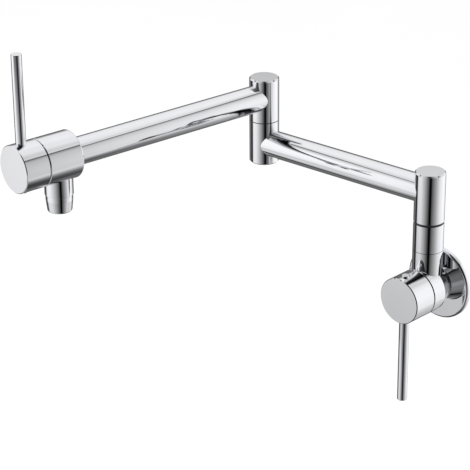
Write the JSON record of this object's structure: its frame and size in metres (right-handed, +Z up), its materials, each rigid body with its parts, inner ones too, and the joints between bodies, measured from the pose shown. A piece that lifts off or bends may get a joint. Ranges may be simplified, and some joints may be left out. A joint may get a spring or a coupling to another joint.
{
  "type": "wall mounted pot filler",
  "caption": "Wall mounted double-jointed pot filler: round flange, lever valve, two swinging tube arms, and a second lever valve over an aerated spout.",
  "frame": {"origin": "centre of the wall flange's back face, on the wall and on the wall valve's axis", "axes": "+Z up, -Y out of the wall along the wall valve's axis, +X to the right of someone facing the wall"},
  "size_m": [0.2921, 0.35, 0.3643],
  "materials": {
    "polished_chrome": "mirror polished chrome plate on brass",
    "plain_brass": "machined brass",
    "spring_steel": "plain stainless steel",
    "black_rubber": "smooth moulded rubber",
    "dark_acetal": "matt moulded acetal",
    "white_acetal": "moulded acetal",
    "white_ceramic": "lapped alumina ceramic"
  },
  "bodies": {
    "wall_side": {"wall_flange": "polished_chrome", "flange_gasket": "black_rubber", "inlet_nipple": "plain_brass", "valve_body": "polished_chrome", "post_sleeve": "polished_chrome", "base_spindle": "plain_brass", "base_orings": "black_rubber", "base_thrust_washer": "dark_acetal", "base_retaining_ring": "spring_steel", "wall_cartridge": "white_acetal", "wall_fixed_disc": "white_ceramic", "wall_disc_seal": "black_rubber", "wall_gland_nut": "plain_brass"},
    "wall_handle": {"wall_handle_cap": "polished_chrome", "wall_lever": "polished_chrome", "wall_stem": "plain_brass", "wall_moving_disc": "white_ceramic", "wall_grub_screw": "spring_steel", "wall_screw_plug": "polished_chrome"},
    "lower_arm": {"base_socket": "polished_chrome", "base_socket_cap": "polished_chrome", "lower_tube": "polished_chrome", "elbow_lower": "polished_chrome", "elbow_plug": "polished_chrome", "elbow_spindle": "plain_brass", "elbow_orings": "black_rubber", "elbow_thrust_washer": "dark_acetal", "elbow_retaining_ring": "spring_steel"},
    "upper_arm": {"elbow_upper": "polished_chrome", "elbow_cap": "polished_chrome", "upper_tube": "polished_chrome", "outlet_body": "polished_chrome", "aerator_housing": "polished_chrome", "aerator_insert": "white_acetal", "aerator_washer": "black_rubber", "outlet_cartridge": "white_acetal", "outlet_fixed_disc": "white_ceramic", "outlet_disc_seal": "black_rubber", "outlet_gland_nut": "plain_brass"},
    "outlet_handle": {"outlet_handle_cap": "polished_chrome", "outlet_lever": "polished_chrome", "outlet_stem": "plain_brass", "outlet_moving_disc": "white_ceramic", "outlet_grub_screw": "spring_steel", "outlet_screw_plug": "polished_chrome"}
  },
  "joints": [
    {"name": "wall_valve_turn", "type": "hinge", "parent": "wall_side", "child": "wall_handle", "pos_m": [0, -0.0496, 0], "axis": [0, -1, 0], "range_deg": [0, 90]},
    {"name": "lower_arm_swing", "type": "hinge", "parent": "wall_side", "child": "lower_arm", "pos_m": [0, -0.0208, 0.0691], "axis": [0, 0, 1], "range_deg": [-5, 175]},
    {"name": "elbow_swing", "type": "hinge", "parent": "lower_arm", "child": "upper_arm", "pos_m": [-0.19804, -0.03813, 0.1238], "axis": [0, 0, 1], "continuous": true},
    {"name": "outlet_valve_turn", "type": "hinge", "parent": "upper_arm", "child": "outlet_handle", "pos_m": [-0.23159, -0.3153, 0.1475], "axis": [-0.1201, -0.9928, 0], "range_deg": [0, 90]}
  ]
}
